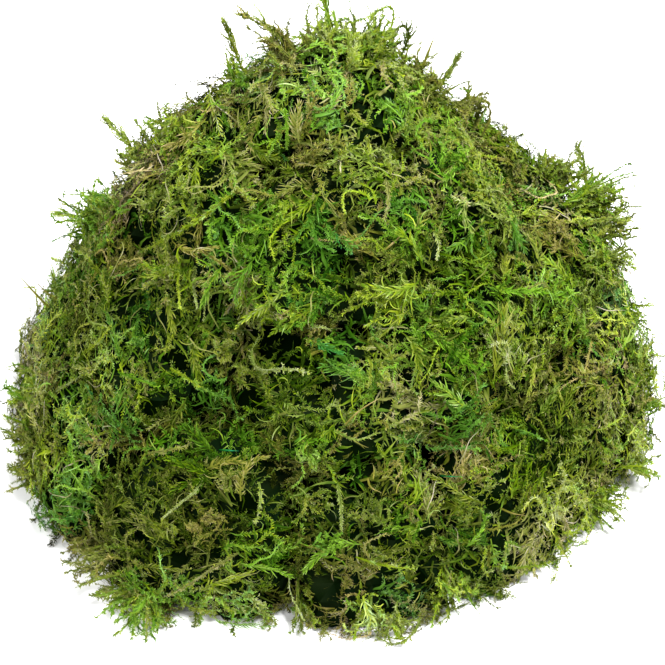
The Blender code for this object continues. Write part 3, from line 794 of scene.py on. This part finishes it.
def make_wads():
    spot, normal, flow, owner = scatter(WADS)
    turn = draws.normal(0, WAD_TURN, WADS)[:, None]
    along = flow * np.cos(turn) + np.cross(normal, flow) * np.sin(turn)
    tone = np.empty(WADS)
    chance = draws.random_sample(WADS)
    for index, name in enumerate(tufts):
        mix = MIX_OF_SLOT[slots[name]]
        steps = np.cumsum(list(mix.values()))
        mine = owner == index
        pick = np.minimum(np.searchsorted(steps / steps[-1], chance[mine]), len(mix) - 1)
        tone[mine] = np.array(list(mix))[pick]
    tone += between(-0.06, 0.06, WADS)
    shade = draws.normal(0, WAD_SHADE, WADS)
    lift = between(*WAD_LIFT, WADS)
    hollow = draws.random_sample(WADS) < HOLLOW_SHARE
    return Wad(spot, along, tone, shade, lift, hollow)


def wad_of(spot):
    """The wad that each spot is in."""
    found = np.empty(len(spot), int)
    for i in range(0, len(spot), SPOTS_AT_ONCE):
        far = ((spot[i : i + SPOTS_AT_ONCE, None] - wads.spot[None]) ** 2).sum(-1)
        found[i : i + SPOTS_AT_ONCE] = far.argmin(1)
    return found


wads = make_wads()


# The layers of fronds


def over_a_hole(path):
    """Which paths pass over a hole."""
    found = np.zeros(len(path.centre), bool)
    for x, y, radius in HOLES:
        for step in range(path.centre.shape[1]):
            found |= near_pixel(path.centre[:, step], x, y, radius)
    return found


def tinted(spot, wad):
    """The tone and the shade of the frond at each spot, from its wad and from its place, with painted
    light and shade from the patches, the rim and the wider areas.
    """
    tone = wads.tone[wad] + draws.normal(0, TONE_STRAY, len(spot))
    shade = wads.shade[wad]
    for own_tone, x, y, radius, extra in PATCH_ROWS:
        near = near_pixel(spot, x, y, radius)
        tone[near] = own_tone + draws.normal(0, 0.03, near.sum())
        shade[near] += extra + PATCH_LIGHT
    # painted light on the rim of the heap
    off_middle = np.hypot(spot[:, 0], spot[:, 1])
    shade += RIM_LIGHT * np.clip((off_middle - RIM) / RIM_WIDTH, 0, 1)
    # painted light and shade over wider areas, partly the moss's own tone
    for x, y, radius, extra in SHADINGS:
        shade += extra * fading(spot, x, y, radius, SHADING_FADE)
    return tone, shade


def laid(layer):
    """Paths of a layer's fronds, the tuft of each, its tone and its shade, with painted light and shade
    from its place.
    """
    spot, normal, flow, owner = scatter(layer.count)
    wad = wad_of(spot)
    keep = ~wads.hollow[wad] | (draws.random_sample(layer.count) < layer.hollows)
    spot, normal, owner, wad = spot[keep], normal[keep], owner[keep], wad[keep]
    count = len(spot)
    size = between(*layer.length, count)
    along = wads.along[wad]
    along = unit(along - normal * dot(along, normal))
    turn = draws.normal(0, layer.spread, count)
    turn += np.where(draws.random_sample(count) < layer.stray, between(-3, 3, count), 0)
    along = along * np.cos(turn)[:, None] + np.cross(normal, along) * np.sin(turn)[:, None]
    tilt = between(*layer.pitch, count)[:, None]
    along = unit(along * np.cos(tilt) + normal * np.sin(tilt))
    height = between(*layer.depth, count) + wads.lift[wad] + swell_at(spot)
    root = spot + normal * height[:, None] - along * size[:, None] * ROOT_BACK
    root[:, 2] = np.maximum(root[:, 2], LOWEST_ROOT)
    side_bend = draws.normal(0, layer.wave, count)
    up_bend = -layer.hug * size / HUG_LENGTH + draws.normal(0, 0.35, count)
    tone, shade = tinted(spot, wad)
    path = grow(root, along, normal, size, side_bend, up_bend, layer.steps, layer.sway)
    over = over_a_hole(path)
    # painted shade on the fronds over a hole
    shade[over] -= HOLE_SHADE
    keep = ~over | (draws.random_sample(count) < layer.hollows)
    path = Path(*(part[keep] for part in path))
    owner, tone, shade = owner[keep], np.clip(tone[keep], *TONE_RANGE), shade[keep]
    if layer.mixed:
        shade += draws.normal(0, layer.mixed, len(shade))
    if layer.tone:
        tone = np.full(len(tone), layer.tone)
    return path, owner, tone, shade


def hem(count):
    """Fronds that lie splayed on the floor along the heap's foot."""
    low = np.flatnonzero(spots[:, 2] < HEM_HEIGHT)
    pick = low[spread_over(len(low), count).astype(int)]
    spot = spots[pick]
    out = unit(spot * (1, 1, 0))
    turn = draws.normal(0, 0.65, count)[:, None]
    up = np.tile((0, 0, 1.0), (count, 1))
    along = out * np.cos(turn) + np.cross(up, out) * np.sin(turn)
    size = between(0.008, 0.014, count)
    root = spot - along * size[:, None] * between(0.55, 0.85, count)[:, None]
    root[:, 2] = between(0.0015, 0.0070, count)
    along[:, 2] = between(-0.35, 0.10, count)
    wad = wad_of(spot)
    tone = np.clip(wads.tone[wad] + draws.normal(0, TONE_STRAY, count), *TONE_RANGE)
    bend = draws.normal(0, 0.7, count)
    path = grow(root, along, up, size, bend, draws.normal(0, 0.2, count), 6, 0.2)
    return path, owners[pick], tone, wads.shade[wad]


def shades(low, high, own):
    """The shade at the foot and at the tip of each frond, some darker and some lighter all over."""
    own = own + draws.normal(0, FROND_SHADE, len(own))
    return low + own, high + own


def cover(path, tone, own, make, *sizes):
    """Fronds of one make along the paths. A pair of sizes stands for a size between the two."""
    *sizes, light = sizes
    drawn = [between(*size, len(tone)) if isinstance(size, tuple) else size for size in sizes]
    return make(path, *drawn, tone, shades(*light, own))


def rope(path, tone, own, leaves, leaf, width, light):
    """Leafy shoots with a blade down their middle."""
    look = tone, shades(*light, own)
    shoots = leafy(path, leaves, between(*leaf, len(tone)), *look)
    return joined(shoots, ribbon(path, between(*width, len(tone)), *look))


# Each layer's fronds: how many, their length, how far they turn from their wad's way, the height of
# their roots, how steeply they rise, how far they bend to the heap and to one side, how far they
# sway, their steps, the share that lies any way, the share kept in hollows and, for some, how much
# they differ in shade and their own tone. Then comes what they are made of, with its sizes and its
# shades at the foot and at the tip. The lower layers are painted darker, as shade
FIELDS = "count length spread depth pitch hug wave sway steps stray hollows mixed tone"
Layer = namedtuple("Layer", FIELDS, defaults=(0, 0))
LAYERS = (
    # curved threads under all the rest, painted dark as shade
    (Layer(13500, (0.005, 0.010), 1.2, (-0.0030, -0.0010), (-0.1, 0.5), 0.6, 1.8, 0, 3, 0.3, 0.8),
     cover, ribbon, (0.0007, 0.0012), (0.14, 0.41)),
    # leafy shoots painted dim as shade, which also hang in the pits
    (Layer(5300, (0.006, 0.012), 1.2, (-0.0028, -0.0002), (-0.1, 0.4), 0.7, 1.8, 0.3, 4, 0.3, 0.7),
     cover, leafy, 18, (0.0012, 0.0018), (0.14, 0.53)),
    # the body of it: branched leafy shoots
    (Layer(2000, (0.011, 0.020), 0.33, (-0.0015, 0.0012), (0.0, 0.40), 0.9, 1.1, 0.35, 7, 0.10, 0.1),
     cover, branched, 5, (0.0036, 0.0066), 14, 28, (0.0009, 0.0014), (0.23, 0.80)),
    # feathers
    (Layer(510, (0.012, 0.022), 0.25, (-0.0008, 0.0018), (0.0, 0.30), 0.9, 0.9, 0.15, 6, 0.10, 0.1),
     cover, feather, 16, (0.0026, 0.0050), (0.27, 0.84)),
    # single shoots that curl out
    (Layer(2250, (0.007, 0.017), 0.6, (-0.0005, 0.0024), (0.0, 0.60), 0.8, 2.2, 0.35, 7, 0.2, 0.2,
           mixed=SIDE_SHADE),
     cover, leafy, 40, (0.0010, 0.0015), (0.28, 0.87)),
    # long ropes that arch over the rest
    (Layer(420, (0.014, 0.027), 0.5, (0.0002, 0.0030), (0.05, 0.55), 1.1, 2.2, 0.45, 10, 0.3, 0.2),
     rope, 60, (0.0010, 0.0016), (0.0004, 0.0007), (0.33, 0.90)),
    # loose curved threads
    (Layer(3000, (0.003, 0.008), 0.6, (0.0000, 0.0018), (0.0, 0.5), 0.9, 2.2, 0, 4, 0.2, 0.2),
     cover, ribbon, (0.0003, 0.0005), (0.36, 0.80)),
    # bare wiry stems
    (Layer(260, (0.008, 0.018), 0.9, (0.0000, 0.0030), (0.0, 0.45), 0.7, 1.6, 0.3, 8, 0.5, 0.5,
           tone=TAN_OLIVE),
     cover, ribbon, (0.00030, 0.00055), (0.45, 0.80)),
    # fronds that stand off the rest
    (Layer(340, (0.007, 0.012), 0.8, (0.0000, 0.0020), (0.4, 1.1), 0.9, 1.2, 0.2, 6, 0.5, 0.2),
     cover, branched, 5, (0.0020, 0.0040), 9, 22, (0.0008, 0.0011), (0.28, 0.84)),
)
HEM = branched, 5, (0.0026, 0.0048), 11, 24, (0.0009, 0.0012), (0.24, 0.80)
for layer, dress, *sizes in LAYERS:
    path, owner, tone, own = laid(layer)
    add(owner, dress(path, tone, own, *sizes))
path, owner, tone, own = hem(HEM_FRONDS)
add(owner, cover(path, tone, own, *HEM))


# The fronds that stand out


def dressed(kind, path, length, reach, tone, shade):
    """One frond of a kind along its path."""
    look = one(tone), (one(0.28 + shade), one(0.80 + shade))
    if kind == "branch":
        pairs = max(int(length / SIDE_GAP), 4)
        return branched(path, pairs, one(reach), 8, pairs * 4, one(LONG_LEAF), *look, body=BODY_WIDTH)
    if kind == "feather":
        return feather(path, max(int(length / TOOTH_GAP), 8), one(reach), *look)
    if kind == "plume":
        pairs = max(int(length / PLUME_GAP), 12)
        return feather(path, pairs, one(reach), *look, angle=PLUME_LEAN, curve=0.5)
    if kind == "shoot":
        leaves = leafy(path, max(int(length / LEAF_GAP), 18), one(reach * 0.75), *look)
        return joined(leaves, stalk(path, one(SHOOT_WIDTH), *look))
    return stalk(path, one(BODY_WIDTH), *look)


def lifted(place, lift):
    """A place on the tufts, moved a little towards the camera."""
    return place + unit(np.array(CAMERA_PLACE) - place) * lift


def placed(x, y, near):
    """The point that shows at a pixel, a little off the tufts, or level with a point near it."""
    over, normal, _, _ = tree.ray_cast(CAMERA_PLACE, way_to(x, y))
    if over is None:
        return beside(near, x, y), 0
    return lifted(np.array(over), HERO_LIFT[1]), np.array(normal)


def put(kind, route, reach, tone, shade):
    """A frond laid over the heap through pixels of the picture."""
    start, up = seen_at(*route[0])
    owner = owners[np.linalg.norm(spots - start, axis=1).argmin()]
    points = [lifted(start, HERO_LIFT[0])]
    for x, y in np.array(route[1:]) + draws.normal(0, ROUTE_STRAY, (len(route) - 1, 2)):
        point, normal = placed(x, y, points[-1])
        points.append(point)
        up = up + normal
    path, length = through(np.array(points), unit(up), 2 * len(points) + 2)
    add(np.array([owner]), dressed(kind, path, length, reach * PIXEL, tone, shade))


def curled(start, heading, bend, length):
    """A route of three stretches in the picture, each turned a little further than the last."""
    route = [np.array(start)]
    for turn in range(3):
        way = heading + bend * turn
        route.append(route[-1] + length / 3 * np.array((math.cos(way), math.sin(way))))
    return route


def put_ball(x, y, radius, tone, shade):
    """A ball of shoots that curl outwards from about its middle."""
    for _ in range(BALL_SHOOTS):
        turn, far = between(0, math.tau), radius * between(0.0, 0.5)
        start = (x + far * math.cos(turn), y + far * math.sin(turn))
        route = curled(start, turn + draws.normal(0, 0.8), 0.55, radius * between(0.5, 0.9))
        put("shoot", route, 4, tone + draws.normal(0, 0.03), shade + between(-0.2, 0.08))


def put_tussock(root, top, width, fronds, tone):
    """A bunch of branches from about one root, as long as to its top or a little longer."""
    root, top = np.array(root), np.array(top)
    height = np.linalg.norm(top - root)
    outward = math.atan2(*(top - root)[::-1])
    for _ in range(fronds):
        start = root + draws.normal(0, width * 0.35, 2)
        heading, bend = outward + draws.normal(0, 0.5), draws.normal(0, 0.6)
        route = curled(start, heading, bend, height * between(0.4, 1.2))
        reach = between(7, 12)
        put("branch", route, reach, tone + draws.normal(0, FROND_TONE), between(-0.07, 0.13))


for ball in BALLS:
    put_ball(*ball)
for frond in PLUMES + FRONDS:
    put(*frond)
for tussock in TUSSOCKS:
    put_tussock(*tussock)
for *route, tone in EDGE_FRONDS:
    reach = between(6, 10)
    put("branch", route, reach, tone + draws.normal(0, FROND_TONE), between(-0.10, 0.06))


# The sprigs that stand off the heap


def direction_of(azimuth, elevation):
    """The direction at an azimuth from the front, to the right, and an elevation, in degrees."""
    turn, rise = math.radians(azimuth), math.radians(elevation)
    level = math.cos(rise)
    return Vector((math.sin(turn) * level, -math.cos(turn) * level, math.sin(rise)))


def sprig_path(sprig):
    """The path of a sprig from its root on the tufts, tips and all."""
    out = direction_of(sprig.azimuth, sprig.elevation)
    spot = whole.ray_cast(HEAP_CENTRE + out * HEAP_WIDTH, -out)[0]
    root = spot + out * (ROOT_GAP + STEM_THICK / 2)
    growth = direction_of(sprig.towards, sprig.rise)
    up = growth.cross(UPRIGHT.cross(growth).normalized())
    rows = (np.array(v)[None] for v in (root, growth, up))
    return grow(*rows, one(sprig.length), one(0), one(math.radians(sprig.curl)), SPRIG_STEPS)


def sprig_faces(sprig):
    """A sprig's stem with its leafy side shoots, or bare with a few teeth."""
    path, tone = sprig_path(sprig), one(sprig.tone)
    if not sprig.pairs:
        look = tone, (one(0.36), one(0.74))
        stem = stalk(path, one(BARE_WIDTH), *look)
        return joined(stem, leafy(path, 14, one(BARE_TEETH), *look))[0]
    look = tone, (one(0.30), one(0.84))
    pairs, reach = sprig.pairs * 3, one(sprig.reach * 1.5)
    dress = path, pairs, reach, 12, pairs * 5, one(LONG_LEAF), *look
    return branched(*dress, angle=SPRIG_LEAN, body=BODY_WIDTH)[0]


# Pieces


def soup_object(name, faces, material):
    """A piece made of loose faces, with their places in the colour map."""
    count = len(faces) * 3
    points, maps = faces.reshape(-1, 5)[:, :3].copy(), faces.reshape(-1, 5)[:, 3:]
    points[:, 2] = np.maximum(points[:, 2], FLOOR_GAP / 2)
    mesh = bpy.data.meshes.new(name)
    mesh.vertices.add(count)
    mesh.vertices.foreach_set("co", points.astype(np.float32).ravel())
    mesh.loops.add(count)
    mesh.loops.foreach_set("vertex_index", np.arange(count, dtype=np.int32))
    mesh.polygons.add(len(faces))
    mesh.polygons.foreach_set("loop_start", np.arange(0, count, 3, dtype=np.int32))
    layer = mesh.uv_layers.new(name="OFBake")
    layer.data.foreach_set("uv", np.clip(maps, *MAP_RANGE).astype(np.float32).ravel())
    mesh.update(calc_edges=True)
    mesh.materials.append(material)
    obj = bpy.data.objects.new(name, mesh)
    scene.collection.objects.link(obj)
    return obj


def ramp(nodes, links, source, stops):
    """A colour ramp with a colour at each stop."""
    node = nodes.new("ShaderNodeValToRGB")
    links.new(source, node.inputs["Fac"])
    elements = node.color_ramp.elements
    while len(elements) < len(stops):
        elements.new(0.5)
    for element, (place, colour) in zip(elements, sorted(stops.items())):
        element.position = place
        element.color = (*colour, 1)
    return node.outputs["Color"]


def moss_material():
    """The tone at the map's u times the shade at its v, which holds painted shade and painted highlight.
    """
    material = bpy.data.materials.new("moss")
    material.use_nodes = True
    nodes, links = material.node_tree.nodes, material.node_tree.links
    shader = nodes["Principled BSDF"]
    shader.inputs["Roughness"].default_value = 0.70
    # no gloss: the pale tips of the ramp along v are painted highlights
    shader.inputs["Specular IOR Level"].default_value = 0.0
    uv = nodes.new("ShaderNodeUVMap")
    uv.uv_map = "OFBake"
    split = nodes.new("ShaderNodeSeparateXYZ")
    links.new(uv.outputs["UV"], split.inputs["Vector"])
    tone = ramp(nodes, links, split.outputs["X"], TONES)
    top = max(max(colour) for colour in SHADE_AND_HIGHLIGHT.values())
    scaled = {place: tuple(c / top for c in colour) for place, colour in SHADE_AND_HIGHLIGHT.items()}
    shade = ramp(nodes, links, split.outputs["Y"], scaled)
    mix = nodes.new("ShaderNodeVectorMath")
    mix.operation = "MULTIPLY"
    links.new(tone, mix.inputs[0])
    links.new(shade, mix.inputs[1])
    scale = nodes.new("ShaderNodeVectorMath")
    scale.operation = "SCALE"
    scale.inputs["Scale"].default_value = top
    links.new(mix.outputs["Vector"], scale.inputs[0])
    links.new(scale.outputs["Vector"], shader.inputs["Base Color"])
    return material


scene = bpy.context.scene
whole = tuft_tree(tipped=True)
moss = moss_material()
looks = {name: np.concatenate(soup[name]) for name in tufts}
looks.update({name: sprig_faces(sprig) for name, sprig in SPRIGS.items()})
for name, faces in looks.items():
    piece = soup_object(name + "_moss", faces, moss)
    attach(piece, "root")
    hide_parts(name)


# Floor, light and camera


def area_light(name, place, size, power):
    light = bpy.data.lights.new(name, "AREA")
    light.shape = "DISK"
    light.size = size
    light.energy = power
    obj = bpy.data.objects.new(name, light)
    obj.location = place
    obj.rotation_mode = "QUATERNION"
    obj.rotation_quaternion = (LIGHT_AIM - Vector(place)).to_track_quat("-Z", "Y")
    scene.collection.objects.link(obj)


scene.view_settings.view_transform = "Standard"
floor_material = bpy.data.materials.new("floor")
floor_material.use_nodes = True
floor_shader = floor_material.node_tree.nodes["Principled BSDF"]
floor_shader.inputs["Base Color"].default_value = (0.90, 0.90, 0.90, 1)
floor_shader.inputs["Roughness"].default_value = 0.9
bpy.ops.mesh.primitive_plane_add(size=8, location=(0, 0, 0))
floor = bpy.context.object
floor.name = "floor"
floor.data.materials.append(floor_material)

area_light("key", (0.30, -0.12, 0.88), 0.35, 25)
area_light("fill", (-0.8, -0.5, 0.6), 0.9, 12.5)
world = bpy.data.worlds.new("studio")
world.use_nodes = True
background = world.node_tree.nodes["Background"]
background.inputs["Color"].default_value = (1, 1, 1, 1)
background.inputs["Strength"].default_value = 0.45
scene.world = world

camera_data = bpy.data.cameras.new("camera")
camera_data.sensor_width = SENSOR
camera_data.lens = LENS
camera = bpy.data.objects.new("camera", camera_data)
camera.location = CAMERA_PLACE
camera.rotation_euler = (math.pi / 2 - CAMERA_DOWN, 0, 0)
scene.collection.objects.link(camera)
scene.camera = camera
